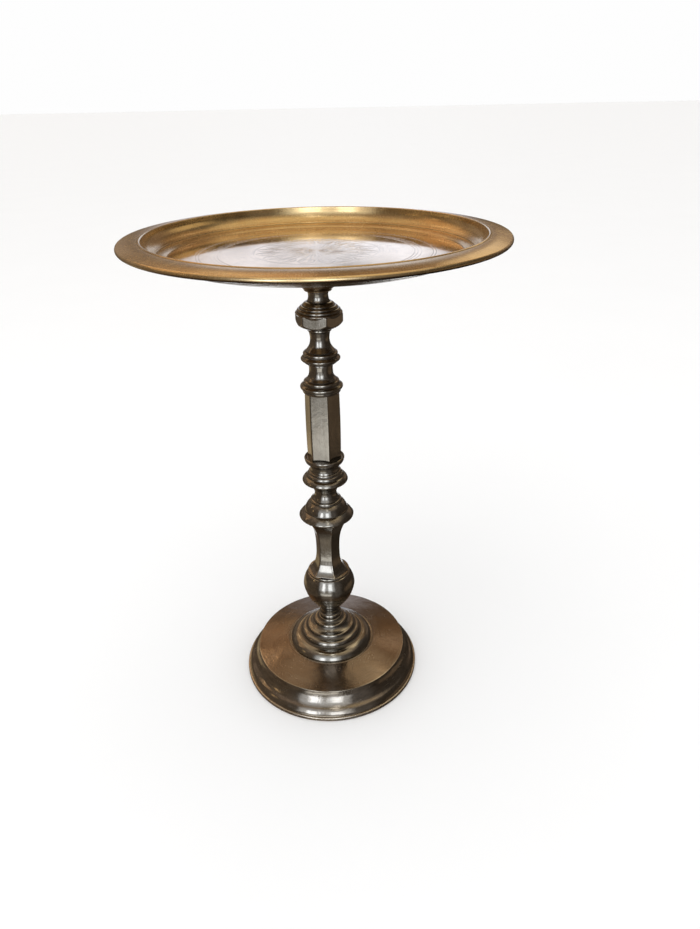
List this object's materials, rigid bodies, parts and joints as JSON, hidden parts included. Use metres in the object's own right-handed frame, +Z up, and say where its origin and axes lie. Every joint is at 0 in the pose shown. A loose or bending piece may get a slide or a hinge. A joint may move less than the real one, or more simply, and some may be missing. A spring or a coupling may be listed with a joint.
{
  "type": "brass tray table",
  "caption": "Round brass table: a deep-rimmed tray screwed to a turned and faceted pedestal column on a weighted, flared round base.",
  "frame": {"origin": "on the floor, at the column's axis, centre of the base's underside", "axes": "+Z up along the column, -Y towards the viewer of the front, +X to the right"},
  "size_m": [0.4219, 0.422, 0.61],
  "materials": {
    "tray_brass": "polished spun brass with a light lacquer, worn and scratched on the floor",
    "collar_brass": "satin cast brass",
    "column_bronze": "turned cast brass, darkened to a gunmetal brown and polished",
    "base_brass": "spun brass, brushed in circles and aged",
    "ring_brass": "satin brass, darkened",
    "steel": "plain bright steel",
    "iron": "rough sand casting, painted black",
    "leather": "thin dark leather washer",
    "felt": "dense green felt"
  },
  "bodies": {
    "stand": {"tie_rod": "steel", "column_nut": "steel", "column_nut_washer": "steel", "hex_knop": "column_bronze", "upper_reel": "column_bronze", "capital": "column_bronze", "hex_shaft": "column_bronze", "shaft_ring": "column_bronze", "turned_knop": "column_bronze", "large_knop": "column_bronze", "hex_baluster": "column_bronze", "bulb": "column_bronze", "stepped_bell": "column_bronze", "base_cover": "base_brass", "base_weight": "iron", "foot_ring": "ring_brass", "closing_plate": "steel", "felt_pad": "felt", "foot_nut": "steel", "foot_spring_washer": "steel", "foot_washer": "steel"},
    "washer": {"collar_washer": "leather"},
    "tray": {"tray": "tray_brass", "rim_wire": "steel", "tray_collar": "collar_brass", "collar_bush": "steel"}
  },
  "joints": [
    {"name": "tray_turn", "type": "hinge", "parent": "stand", "child": "washer", "pos_m": [0, 0, 0.5447], "axis": [0, 0, 1], "range_deg": [0, 4320]},
    {"name": "tray_rise", "type": "slide", "parent": "washer", "child": "tray", "axis": [0, 0, 1], "range_m": [0, 0.018]}
  ],
  "couplings": [
    {"joint": "tray_rise", "follows": "tray_turn", "m_per_rad": 0.00023873}
  ]
}
